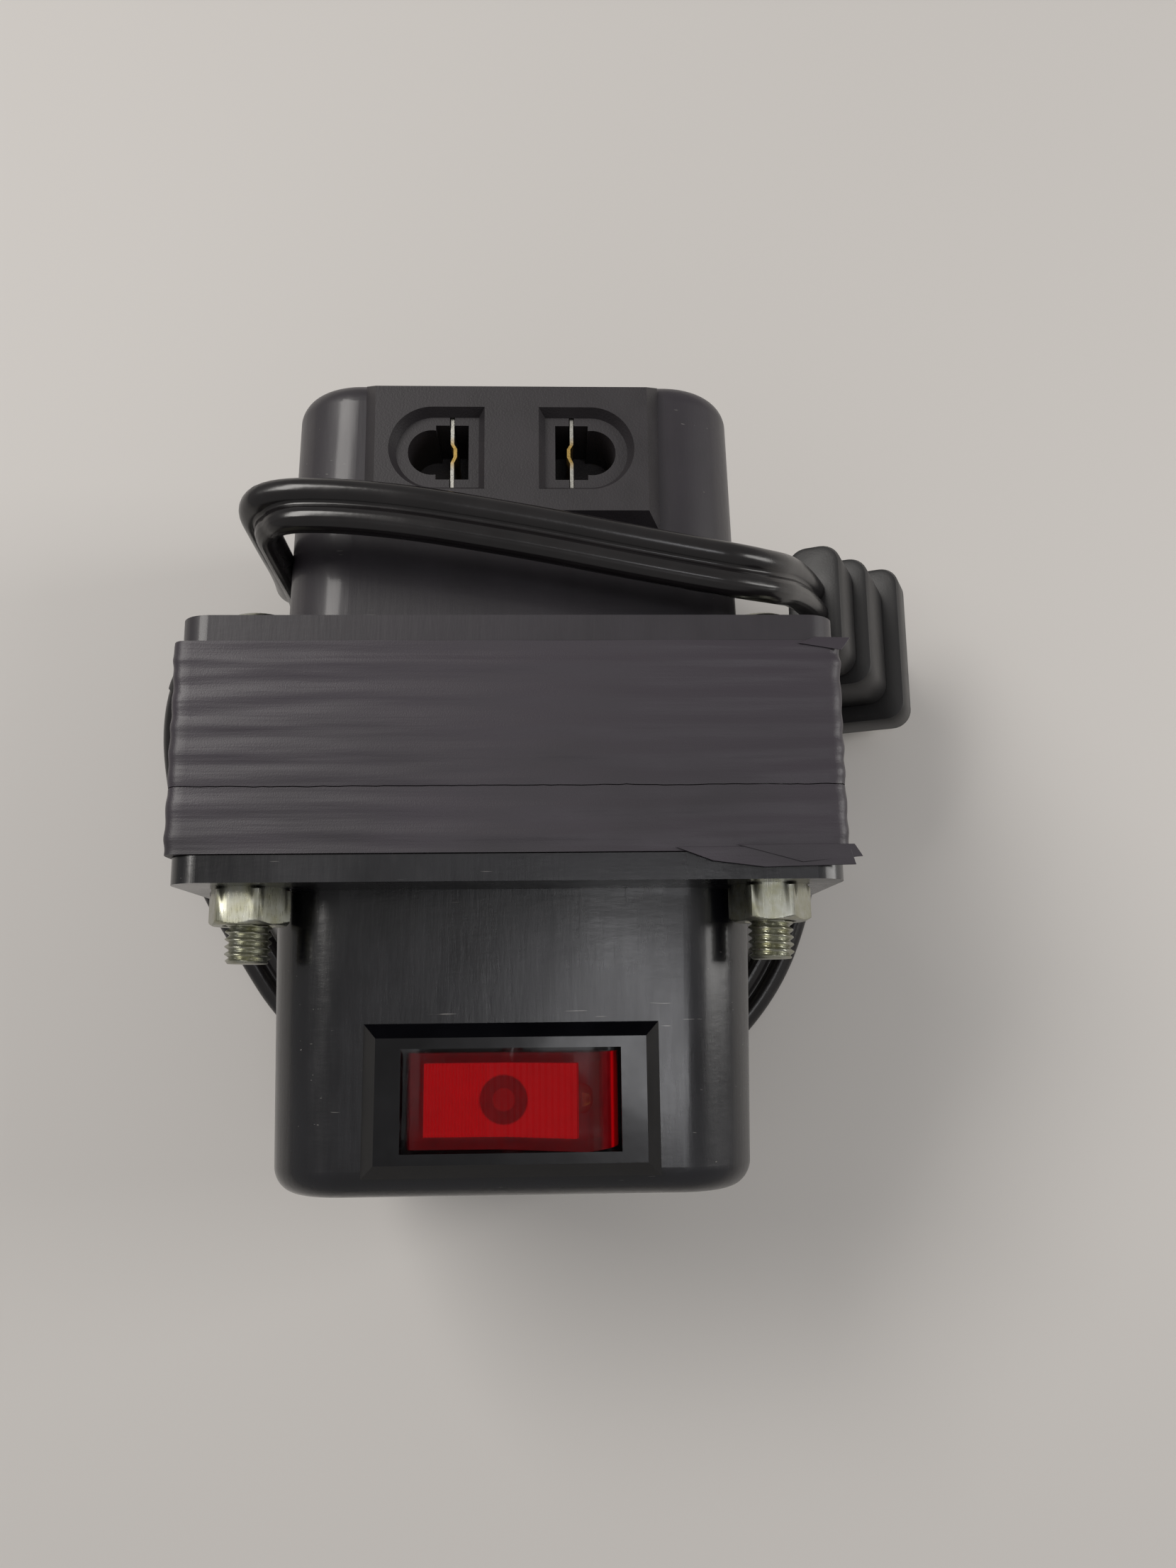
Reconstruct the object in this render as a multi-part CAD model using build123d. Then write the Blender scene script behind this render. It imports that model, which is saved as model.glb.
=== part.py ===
from build123d import *
import os
from math import atan2, cos, hypot, pi, radians, sin, sqrt, tan

# A plug-in step-down autotransformer: an EI core standing on its long edge, a coil on its
# centre leg, a drawn bell over each side, a lit rocker switch in the front bell, a two-pin
# outlet in the rear bell and a short flat lead wound once round the whole.
# X is the core's long edge, Y the stack and the clamp bolts, Z up from the table.
# Millimetres throughout; the front is -Y.

# --- core ---
lam_w = 70.4                # lamination, long edge
lam_h = 59.0                # lamination, short edge
leg = 11.75                 # outer leg, yoke and window width; the centre leg is twice this
lam_corner = 2.0            # clipped corners of the laminations
stack = 27.6                # thickness of the stack
bolt_dx = 57.5              # bolt holes, centre to centre along X
bolt_dz = 46.0              # bolt holes, centre to centre along Z
tape_t = 1.3                # wraps of tape round the core
tape_seam = -4.4            # where the wide rear strip meets the narrow front one
tape_gap = 0.1

# --- bells ---
sheet_t = 0.8
lip_clear = 0.1             # between a lip and the laminations
lip_depth = 2.9             # flange face to the lip's free edge
lip_corner = 3.4
bell_w = 55.6               # at the flange
bell_w_end = 53.9           # at the closed end
bell_h = 43.4
bell_len = 33.2             # flange face to closed end
bell_corner = 8.5
bell_end_r = 3.0

# --- fasteners, M5 ---
thread_d = 5.0
bolt_clear = 0.5            # on the diameter of the holes
nut_af = 8.0
nut_t = 4.0
stud_out = 4.1              # thread showing past the nut
head_d = 8.6
head_t = 2.2
thread_pitch = 0.8
shank_under = 0.26          # a rolled shank is the thread's pitch size: under by this radius
thread_play = 0.02          # between a bolt's shank and its nut

# --- coil ---
leg_clear = 0.3
bobbin_wall = 1.0
bobbin_flange = 1.2
bobbin_end_clear = 0.25
common_t = 4.2              # build of the common winding
series_t = 3.0              # build of the series winding
paper_t = 0.3
coil_tape_t = 0.4
wire_edge = 0.4             # a winding stays this far inside the bobbin's flanges
flange_out = 10.9           # the bobbin flange's reach past the stack

# --- rocker switch, centred on the front bell ---
switch_y = -37.4
bezel_w = 32.2
bezel_d = 16.2
bezel_h = 2.0
bezel_foot = 0.5
bezel_slope = 1.5
switch_w = 28.0
switch_d = 13.3
cutout_clear = 0.2
switch_wall = 1.15
switch_depth = 12.4         # panel face to the housing's underside
switch_floor = 1.4
window_w = 23.7
window_d = 10.9
pivot_drop = 4.6            # bezel face to the rocker's pivot
rocker_half = 9.6           # crease to top edge
rocker_d = 10.0
rocker_top = 5.0            # pivot to crease
rocker_rise = 10.0          # degrees, each half against level
rocker_tilt = 12.0          # degrees, each side of centre
rocker_wall = 1.0
rocker_skirt = 0.6          # how far the end walls reach below the pivot
trunnion_r = 1.2
trunnion_clear = 0.05
trunnion_out = 0.95
diffuser_t = 1.4
diffuser_w = 17.0
diffuser_d = 7.7
post_r = 2.6
post_bore = 1.6
post_low = -2.2
plunger_r = 1.5
tip_r = 0.9
tip_low = 3.9               # pivot to the centre of the plunger's tip
beam_drop = 5.45            # pivot to the middle of the see-saw contact
beam_half = 6.4
beam_t = 0.5
beam_d = 4.0
beam_rise = 8.0             # degrees, each half of the see-saw
beam_tilt = 7.0             # degrees, each side of centre
spade_w = 4.8
spade_t = 0.8
spade_len = 7.0
lamp_r = 1.6
lamp_len = 6.0

# --- outlet, centred on the rear bell ---
outlet_y = 37.2
outlet_w = 35.3
outlet_d = 18.8
outlet_face_w = 32.2
outlet_face_d = 15.7
outlet_h = 3.0
outlet_body_w = 28.4
outlet_body_d = 13.6
outlet_depth = 12.5
pin_pitch = 19.0            # round pins, centre to centre
pin_hole_r = 2.85
slot_in = 5.15              # inner edge of each flat-blade slot
slot_out = 9.05
slot_d = 6.9
recess_in = 3.2
recess_d = 10.4
recess_depth = 1.3
recess_slope = 30.0         # degrees
bore_depth = 10.0
leaf_x = 7.1
leaf_t = 0.4
leaf_d = 9.4
leaf_kink = 0.35
leaf_clear = 0.1
leaf_top = 1.6              # outlet face to the leaf's upper edge
leaf_tail = 5.0             # below the outlet's underside

# --- lead, grommet and plug ---
lead_d = 4.4                # the plain tube that stands for the flat twin lead
grommet_y = 21.0            # it leaves the rear bell's left wall
grommet_z = 22.5
grommet_r = 4.6
grommet_flange_r = 5.8
grommet_flange_t = 1.5
grommet_out = 10.6
grommet_in = 2.8
grommet_tip_r = 3.2
plug_lean = 25.0            # degrees from straight down, towards +X
plug_top = (38.2, 22.8, 42.0)
plug_tail_w, plug_tail_t, plug_tail_len = 15.6, 7.0, 9.0
plug_grip_w, plug_grip_t, plug_grip_len = 17.8, 10.8, 12.0
plug_face_w, plug_face_t, plug_face_len = 22.6, 15.4, 6.5
plug_corner = 2.6
blade_pitch = 12.7
blade_w = 6.35
blade_t = 1.5
blade_len = 17.0
blade_root = 5.0
blade_hole_r = 1.6

# --- internal wires ---
wire_r = 0.75
wire_bend = 1.5
wire_x = -22.3              # the feed crosses the core here, between the coil and the outer leg
fuse_r = 1.8
fuse_len = 9.0


# --- what follows from the sizes above ---
core_z = lam_h / 2 + tape_t                     # the core's middle, above the table
half_stack = stack / 2
face_y = half_stack + sheet_t                   # outer face of each flange
lip_y = face_y - lip_depth                      # free edge of each lip
flange_w = lam_w + 2 * (lip_clear + sheet_t)
flange_h = lam_h + 2 * (lip_clear + sheet_t)
bell_end = face_y + bell_len
bell_top = core_z + bell_h / 2
pivot_z = bell_top + bezel_h - pivot_drop
window_h = lam_h - 2 * leg
rocker_r = hypot(rocker_half, rocker_top + rocker_half * tan(radians(rocker_rise)))
outlet_top = bell_top + outlet_h
exit_x = -(bell_w + (bell_w_end - bell_w) * (grommet_y - face_y) / bell_len) / 2
grommet_tip = exit_x - grommet_out
grommet_back = exit_x + sheet_t + grommet_in
lean_x, lean_z = sin(radians(plug_lean)), -cos(radians(plug_lean))

lead_route = [
    (grommet_tip, grommet_y, grommet_z),
    (-45.0, grommet_y, grommet_z),
    (-48.5, 13.0, 18.0),
    (-49.0, 3.0, 11.0),
    (-46.5, -7.5, 5.5),
    (-41.0, -17.5, 3.0),
    (-34.5, -27.5, 2.5),
    (-22.5, -37.0, 2.5),
    (-7.0, -42.0, 2.5),
    (10.0, -41.5, 2.5),
    (25.5, -36.0, 2.5),
    (36.5, -25.0, 2.5),
    (42.0, -12.0, 2.5),
    (43.8, 1.0, 2.5),
    (42.5, 14.0, 2.5),
    (35.0, 26.0, 2.5),
    (22.5, 35.0, 2.5),
    (7.0, 40.0, 2.6),
    (-9.0, 41.0, 2.8),
    (-22.5, 38.5, 4.0),
    (-30.8, 34.0, 10.5),
    (-32.2, 30.0, 21.5),
    (-31.0, 28.0, 34.0),
    (-30.8, 27.6, 46.5),
    (-29.4, 28.4, 58.8),
    (-16.0, 27.6, 60.5),
    (1.0, 25.0, 60.0),
    (17.0, 21.7, 60.0),
    (28.5, 19.8, 59.5),
    (plug_top[0] - 8 * lean_x, plug_top[1], plug_top[2] - 8 * lean_z),
    plug_top,
]


def plane_y(y, z=core_z):
    """A plane at y whose normal is +Y, centred on the core."""
    return Plane(origin=(0, y, z), x_dir=(-1, 0, 0), z_dir=(0, 1, 0))


def bar(w, h, r, y0, y1):
    """A round-cornered bar along Y, centred on the core's axis."""
    outline = RectangleRounded(w, h, r) if r else Rectangle(w, h)
    return extrude(plane_y(y0) * outline, amount=y1 - y0)


def block(x0, x1, y0, y1, z0, z1):
    return Pos((x0 + x1) / 2, (y0 + y1) / 2, (z0 + z1) / 2) * Box(x1 - x0, y1 - y0, z1 - z0)


def rod(start, end, radius):
    """A round rod from one point to another."""
    axis = Vector(*end) - Vector(*start)
    return extrude(Plane(origin=start, z_dir=axis) * Circle(radius), amount=axis.length)


def tube(points, radius, bends):
    """A round wire along straight runs joined by tangent arcs."""
    path = FilletPolyline(*points, radius=bends)
    start = Plane(origin=path @ 0, z_dir=path % 0)
    return sweep(start * Circle(radius), path=path), path


def bolt_places():
    return [(sx * bolt_dx / 2, core_z + sz * bolt_dz / 2) for sx in (-1, 1) for sz in (-1, 1)]


def bolt_holes(y0, y1):
    radius = (thread_d + bolt_clear) / 2
    return [rod((x, y0, z), (x, y1, z), radius) for x, z in bolt_places()]


def turned(shape, degrees):
    """The shape turned about the rocker's pivot axis; positive sinks the +X side."""
    return shape.rotate(Axis((0, switch_y, pivot_z), (0, 1, 0)), degrees)


# --- core -------------------------------------------------------------------------------------

def make_core():
    low = core_z - lam_h / 2
    split = low + lam_h - leg
    whole = bar(lam_w, lam_h, 0, -half_stack, half_stack)
    whole = chamfer(whole.edges().filter_by(Axis.Y), lam_corner)
    for side in (-1, 1):
        whole -= block(*sorted((side * leg, side * 2 * leg)), -stack, stack, low + leg, split)
    for hole in bolt_holes(-stack, stack):
        whole -= hole
    below = block(-lam_w, lam_w, -stack, stack, low - 1, split)
    return {"core_e_laminations": whole & below, "core_i_laminations": whole - below}


def make_core_tapes():
    def strip(y0, y1):
        outer = bar(lam_w + 2 * tape_t, lam_h + 2 * tape_t, 1.5, y0, y1)
        inner = bar(lam_w, lam_h, 0, y0, y1)
        return outer - chamfer(inner.edges().filter_by(Axis.Y), lam_corner)

    edge = lip_y - tape_gap
    return {
        "rear_core_tape": strip(tape_seam, edge),
        "front_core_tape": strip(-edge, tape_seam - tape_gap),
    }


# --- coil -------------------------------------------------------------------------------------

def ring(reach, build, z0, z1):
    """A rectangular ring round the centre leg; reach is its bore's gap to the leg."""
    plane = Plane.XY.offset(z0)
    outer_r = reach + build
    outer = RectangleRounded(2 * (leg + outer_r), stack + 2 * outer_r, outer_r)
    inner = RectangleRounded(2 * (leg + reach), stack + 2 * reach, reach)
    return extrude(plane * (outer - inner), amount=z1 - z0)


def make_coil():
    half = window_h / 2 - bobbin_end_clear
    low, high = core_z - half, core_z + half
    wound_low = low + bobbin_flange
    wound_high = high - bobbin_flange
    spool = ring(leg_clear, bobbin_wall, low, high)
    cheek_w = 2 * (2 * leg - bobbin_end_clear)
    cheek_d = stack + 2 * flange_out
    for z in (low, wound_high):
        cheek = extrude(Plane.XY.offset(z) * RectangleRounded(cheek_w, cheek_d, 2.0),
                        amount=bobbin_flange)
        spool += cheek - block(-leg - leg_clear, leg + leg_clear,
                               -half_stack - leg_clear, half_stack + leg_clear, low, high)
    parts = {"coil_bobbin": spool}
    reach = leg_clear + bobbin_wall
    for name, build, inset in (
        ("common_winding", common_t, wire_edge),
        ("interwinding_paper", paper_t, 0.0),
        ("series_winding", series_t, wire_edge),
        ("coil_outer_tape", coil_tape_t, 0.0),
    ):
        parts[name] = ring(reach, build, wound_low + inset, wound_high - inset)
        reach += build
    return parts, reach


# --- bells ------------------------------------------------------------------------------------

def bell_cup(shrink, y0, y1, end_r):
    """The drawn cup as a solid, from y0 to y1, with each wall moved in by shrink."""
    def width(y):
        return bell_w + (bell_w_end - bell_w) * (y - face_y) / bell_len

    corner = bell_corner - shrink
    ends = [plane_y(y) * RectangleRounded(width(y) - 2 * shrink, bell_h - 2 * shrink, corner)
            for y in (y0, y1)]
    cup = loft(ends)
    return fillet(cup.faces().sort_by(Axis.Y)[-1].edges(), end_r)


def bell_shell():
    """Flange, lip and cup of the rear bell; the front one is its mirror image."""
    flange = bar(flange_w, flange_h, lip_corner, lip_y, face_y)
    pocket = bar(flange_w - 2 * sheet_t, flange_h - 2 * sheet_t, lip_corner - sheet_t,
                 lip_y - 1, half_stack)
    cup = bell_cup(0, half_stack, bell_end, bell_end_r)
    inside = bell_cup(sheet_t, half_stack - 1, bell_end - sheet_t, bell_end_r - sheet_t)
    shell = flange - pocket + cup - inside
    for hole in bolt_holes(lip_y - 1, bell_end):
        shell -= hole
    return shell


def make_bells():
    rear = bell_shell()
    front = mirror(rear, about=Plane.XZ)
    gap = 2 * cutout_clear
    reach = bell_corner + 1
    front -= block(-switch_w / 2 - cutout_clear, switch_w / 2 + cutout_clear,
                   switch_y - (switch_d + gap) / 2, switch_y + (switch_d + gap) / 2,
                   bell_top - reach, bell_top + 1)
    rear -= block(-outlet_body_w / 2 - cutout_clear, outlet_body_w / 2 + cutout_clear,
                  outlet_y - (outlet_body_d + gap) / 2, outlet_y + (outlet_body_d + gap) / 2,
                  bell_top - reach, bell_top + 1)
    rear -= rod((exit_x - 3, grommet_y, grommet_z), (exit_x + 3, grommet_y, grommet_z),
                grommet_r + cutout_clear)
    return {"front_bell": front, "rear_bell": rear}


# --- fasteners --------------------------------------------------------------------------------

def make_fasteners():
    bolts, nuts = [], []
    stud_end = -face_y - nut_t - stud_out
    for x, z in bolt_places():
        free = rod((x, -face_y - nut_t, z), (x, stud_end, z), thread_d / 2)
        free = chamfer(free.edges().sort_by(Axis.Y)[0], thread_pitch / 2)
        inner = rod((x, face_y, z), (x, -face_y - nut_t, z), thread_d / 2 - shank_under)
        shank = free + inner
        head = rod((x, face_y, z), (x, face_y + head_t, z), head_d / 2)
        head = fillet(head.edges().sort_by(Axis.Y)[-1], head_t * 0.7)
        slot = block(x - head_d, x + head_d, face_y + head_t - 1.0, face_y + 2 * head_t,
                     z - 0.6, z + 0.6)
        bolts.append(shank + head - slot)
        hexagon = RegularPolygon(nut_af / 2, 6, major_radius=False, rotation=30)
        nut = extrude(plane_y(-face_y - nut_t, z) * Pos(-x, 0) * hexagon, amount=nut_t)
        corner = nut_af / sqrt(3)
        cone = rod((x, -face_y - nut_t, z), (x, -face_y, z), corner)
        cone = chamfer(cone.edges().filter_by(GeomType.CIRCLE), 0.35, 0.6)
        nut = nut & cone
        nut -= rod((x, -face_y - nut_t, z), (x, -face_y, z), thread_d / 2 - shank_under + thread_play)
        nuts.append(nut)
    return {"clamp_bolts": Compound(bolts), "clamp_nuts": Compound(nuts)}


# --- rocker switch ----------------------------------------------------------------------------

def switch_pos(x, z):
    """A point of the switch's cross-section, from the pivot, in the part's frame."""
    return (x, switch_y, pivot_z + z)


def section(points, depth):
    """A closed outline in X and Z about the pivot, given depth in Y, centred."""
    face = make_face(Polyline(*[(x, 0, z) for x, z in points], close=True))
    solid = extrude(face, amount=depth / 2, dir=(0, 1, 0), both=True)
    return solid.moved(Location(switch_pos(0, 0)))


def make_switch_housing():
    face_z = bell_top + bezel_h
    foot = Plane.XY.offset(bell_top) * Pos(0, switch_y) * Rectangle(bezel_w, bezel_d)
    bezel = extrude(foot, amount=bezel_foot)
    rise = bezel_h - bezel_foot
    lower = Plane.XY.offset(bell_top + bezel_foot) * Pos(0, switch_y)
    upper = Plane.XY.offset(face_z) * Pos(0, switch_y)
    bezel += loft([lower * Rectangle(bezel_w, bezel_d),
                   upper * Rectangle(bezel_w - 2 * bezel_slope, bezel_d - 2 * bezel_slope)])
    base = bell_top - switch_depth
    body = block(-switch_w / 2, switch_w / 2, switch_y - switch_d / 2, switch_y + switch_d / 2,
                 base, bell_top + rise)
    half_w, half_d = window_w / 2, window_d / 2
    cavity_half = rocker_r + 0.5
    shell = bezel + body
    shell -= block(-half_w, half_w, switch_y - half_d, switch_y + half_d,
                   base + switch_floor, face_z + 1)
    shell -= block(-cavity_half, cavity_half, switch_y - half_d, switch_y + half_d,
                   base + switch_floor, bell_top)
    ear = trunnion_r + trunnion_clear
    reach = rocker_d / 2 + trunnion_out + 0.1
    shell -= rod((0, switch_y - reach, pivot_z), (0, switch_y + reach, pivot_z), ear)
    for x in spade_places():
        shell -= block(x - spade_t / 2, x + spade_t / 2,
                       switch_y - spade_w / 2, switch_y + spade_w / 2,
                       base - 1, base + switch_floor + 1)
    return shell


def spade_places():
    return (-beam_half + 0.4, 0.0, beam_half - 0.4)


def rocker_outline(inset, low):
    """Half-outline points of the rocker, from its crease out and down to low."""
    rise = tan(radians(rocker_rise))
    half = rocker_half - inset
    top = [(0.0, rocker_top - inset), (half, rocker_top - inset + half * rise)]
    radius = rocker_r - inset
    start = atan2(top[1][1], half)
    radius = hypot(half, top[1][1]) if inset else radius
    end = -low / radius
    steps = 8
    arc = [(radius * cos(a), radius * sin(a))
           for a in (start + (end - start) * i / steps for i in range(1, steps + 1))]
    return top + arc


def both_halves(points):
    """The outline made whole by its mirror image in X."""
    return points + [(-x, z) for x, z in reversed(points) if x]


def make_rocker_group():
    outer = section(both_halves(rocker_outline(0.0, rocker_skirt)), rocker_d)
    hollow = section(both_halves(rocker_outline(rocker_wall, rocker_skirt + 1.5)),
                     rocker_d - 2 * rocker_wall)
    shell = outer - hollow
    for side in (-1, 1):
        inner = side * (rocker_d / 2 - rocker_wall)
        outer_y = side * (rocker_d / 2 + trunnion_out)
        wall_y = side * rocker_d / 2
        y0, y1 = sorted((inner, wall_y))
        boss = rod((0, switch_y + y0, pivot_z), (0, switch_y + y1, pivot_z), trunnion_r + 0.9)
        shell += boss
        shell += rod((0, switch_y + wall_y, pivot_z), (0, switch_y + outer_y, pivot_z),
                     trunnion_r)

    rise = tan(radians(rocker_rise))
    top = rocker_top - rocker_wall - 0.05
    half = diffuser_w / 2
    vee = both_halves([(0.0, top), (half, top + half * rise),
                       (half, top + half * rise - diffuser_t), (0.0, top - diffuser_t)])
    vee = [p for i, p in enumerate(vee) if p not in vee[:i]]
    plate = section(vee, diffuser_d)
    post = rod(switch_pos(0, post_low), switch_pos(0, top - 0.2), post_r)
    post_hole = rod(switch_pos(0, post_low), switch_pos(0, top - diffuser_t - 0.4), post_bore)
    diffuser = plate + post - post_hole

    spring_top = top - diffuser_t - 0.4
    stem_top = spring_top - 3.4
    plunger = rod(switch_pos(0, -tip_low + 0.4), switch_pos(0, stem_top), plunger_r)
    plunger += rod(switch_pos(0, -tip_low), switch_pos(0, -tip_low + 0.5), tip_r)
    plunger += Pos(*switch_pos(0, -tip_low)) * Sphere(tip_r)
    coil_path = Helix(pitch=0.8, height=3.0, radius=1.1, center=switch_pos(0, stem_top + 0.2))
    wire = Plane(origin=coil_path @ 0, z_dir=coil_path % 0) * Circle(0.18)
    spring = sweep(wire, path=coil_path, is_frenet=True)

    lamp_z = top - diffuser_t - lamp_r - 0.08 + (post_r + 0.8) * rise
    lamp = rod(switch_pos(post_r + 0.6, lamp_z), switch_pos(post_r + 0.6 + lamp_len, lamp_z),
               lamp_r)
    lamp = fillet(lamp.edges().sort_by(Axis.X)[-1], lamp_r * 0.7)
    pieces = {
        "switch_rocker": shell,
        "rocker_diffuser": diffuser,
        "switch_plunger": plunger,
        "plunger_spring": spring,
        "neon_lamp": lamp,
    }
    return {name: turned(shape, -rocker_tilt) for name, shape in pieces.items()}


def make_switch_contacts():
    rise = tan(radians(beam_rise))
    beam = section(both_halves([(0.0, beam_t / 2), (beam_half, beam_t / 2 + beam_half * rise),
                                (beam_half, -beam_t / 2 + beam_half * rise),
                                (0.0, -beam_t / 2)])[:7], beam_d)
    beam = beam.moved(Location((0, 0, -beam_drop)))
    beam = beam.rotate(Axis(switch_pos(0, -beam_drop), (0, 1, 0)), beam_tilt)
    floor = bell_top - switch_depth
    parts = {"contact_see_saw": beam}
    drop = beam_half * sin(radians(beam_tilt - beam_rise))
    tops = {
        "load_terminal": pivot_z - beam_drop - beam_t - 0.25 - drop,
        "feed_terminal": pivot_z - beam_drop - beam_t / 2 - 0.12,
        "lamp_terminal": pivot_z - beam_drop - beam_t - 0.25 - drop,
    }
    for (name, top), x in zip(tops.items(), spade_places()):
        blade = block(x - spade_t / 2, x + spade_t / 2,
                      switch_y - spade_w / 2, switch_y + spade_w / 2,
                      floor - spade_len, top)
        hole = rod((x - 2, switch_y, floor - spade_len + 2.2),
                   (x + 2, switch_y, floor - spade_len + 2.2), 0.8)
        parts[name] = blade - hole
    return parts


# --- outlet -----------------------------------------------------------------------------------

def pin_opening(side, z0, z1):
    """A flat-blade slot joined to a round pin hole, cut from z0 up to z1."""
    x0, x1 = sorted((side * slot_in, side * slot_out))
    cut = block(x0, x1, outlet_y - slot_d / 2, outlet_y + slot_d / 2, z0, z1)
    x = side * pin_pitch / 2
    return cut + rod((x, outlet_y, z0), (x, outlet_y, z1), pin_hole_r)


def d_recess(side):
    """The bevelled, D-shaped dish round one opening."""
    radius = recess_d / 2
    straight = pin_pitch / 2 - 0.2
    shape = Pos(side * straight, 0) * Circle(radius)
    x0, x1 = sorted((side * recess_in, side * straight))
    shape += Pos((x0 + x1) / 2, 0) * Rectangle(x1 - x0, recess_d)
    plane = Plane.XY.offset(outlet_top) * Pos(0, outlet_y)
    return extrude(plane * shape, amount=-recess_depth, taper=recess_slope)


def make_outlet():
    foot = Plane.XY.offset(bell_top) * Pos(0, outlet_y)
    face = Plane.XY.offset(outlet_top) * Pos(0, outlet_y)
    base = bell_top - outlet_depth
    body = loft([foot * Rectangle(outlet_w, outlet_d),
                 face * Rectangle(outlet_face_w, outlet_face_d)])
    body += block(-outlet_body_w / 2, outlet_body_w / 2, outlet_y - outlet_body_d / 2,
                  outlet_y + outlet_body_d / 2, base, bell_top)
    leaves = {}
    gap = leaf_clear
    for side, name in ((-1, "left_outlet_contact"), (1, "right_outlet_contact")):
        body -= d_recess(side)
        body -= pin_opening(side, outlet_top - bore_depth, outlet_top)
        x = side * leaf_x
        slot = (leaf_t / 2 + gap, leaf_d / 2 + gap)
        body -= block(x - slot[0], x + slot[0], outlet_y - slot[1], outlet_y + slot[1],
                      base - 1, outlet_top - recess_depth + 0.01)
        half = leaf_t / 2
        wave = [(-leaf_d / 2, 0), (-1.2, 0), (-0.4, -leaf_kink * side),
                (0.6, -leaf_kink * side), (1.2, 0), (leaf_d / 2, 0)]
        outline = [(x + dx - half, outlet_y + y) for y, dx in wave]
        outline += [(x + dx + half, outlet_y + y) for y, dx in reversed(wave)]
        profile = make_face(Polyline(*[(px, py, 0) for px, py in outline], close=True))
        top = outlet_top - leaf_top
        low = outlet_top - bore_depth + 0.2
        leaf = extrude(profile.moved(Location((0, 0, low))), amount=top - low)
        leaf += block(x - half, x + half, outlet_y - leaf_d / 2, outlet_y + leaf_d / 2,
                      base + 0.5, low)
        leaf += block(x - half, x + half, outlet_y - 2.4, outlet_y + 2.4,
                      base - leaf_tail, base + 0.5)
        leaves[name] = leaf
    return {"outlet_body": body, **leaves}


# --- lead, grommet and plug -------------------------------------------------------------------

def make_grommet():
    y, z = grommet_y, grommet_z
    rim_x = exit_x - 0.6
    tail_x = rim_x - grommet_flange_t
    neck_x = exit_x + sheet_t + 1.2
    neck = rod((neck_x, y, z), (rim_x, y, z), grommet_r)
    rim = rod((rim_x, y, z), (tail_x, y, z), grommet_flange_r)
    tail = Plane(origin=(tail_x, y, z), z_dir=(-1, 0, 0)) * Circle(grommet_r)
    tip_face = Plane(origin=(grommet_tip, y, z), z_dir=(-1, 0, 0)) * Circle(grommet_tip_r)
    latch = rod((grommet_back, y, z), (neck_x, y, z), grommet_r - 0.9)
    return neck + rim + loft([tail, tip_face]) + latch


def plug_plane(along):
    """A plane across the plug, at a distance along its axis from the cord's end."""
    axis = Vector(lean_x, 0, lean_z)
    return Plane(origin=Vector(*plug_top) + axis * along, x_dir=(0, 1, 0), z_dir=axis)


def make_plug():
    tiers = (
        (plug_tail_w, plug_tail_t, plug_tail_len),
        (plug_grip_w, plug_grip_t, plug_grip_len),
        (plug_face_w, plug_face_t, plug_face_len),
    )
    body = None
    along = 0.0
    for wide, thick, length in tiers:
        start = plug_plane(along) * RectangleRounded(wide, thick, plug_corner)
        tier = extrude(start, amount=length)
        body = tier if body is None else body + tier
        along += length
    blades = []
    for side in (-1, 1):
        place = Pos(side * blade_pitch / 2, 0)
        stem = plug_plane(along - blade_root) * place * Rectangle(blade_t, blade_w)
        blade = extrude(stem, amount=blade_root + blade_len)
        body -= blade
        eye = plug_plane(along + blade_len - 3.5)
        hole = Plane(origin=(eye * place).position, z_dir=(0, 1, 0)) * Circle(blade_hole_r)
        blades.append(blade - extrude(hole, amount=2 * blade_t, both=True))
    return {"plug_body": body, "plug_blades": Compound(blades)}


def make_lead():
    route = [Vector(*p) for p in lead_route]
    bends = []
    for before, here, after in zip(route, route[1:], route[2:]):
        turn = (here - before).get_angle(after - here)
        shorter = min((here - before).length, (after - here).length)
        bends.append(0.45 * shorter / tan(radians(turn) / 2))
    lead, path = tube(route, lead_d / 2, bends)
    print("lead bend radii, mm:", " ".join(f"{r:.0f}" for r in bends))
    section_area = pi * lead_d ** 2 / 4
    print(f"lead length {path.length:.1f} mm, volume over section x length "
          f"{lead.volume / (section_area * path.length):.4f}")
    return {"mains_lead": lead}


# --- internal wires ---------------------------------------------------------------------------

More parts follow.
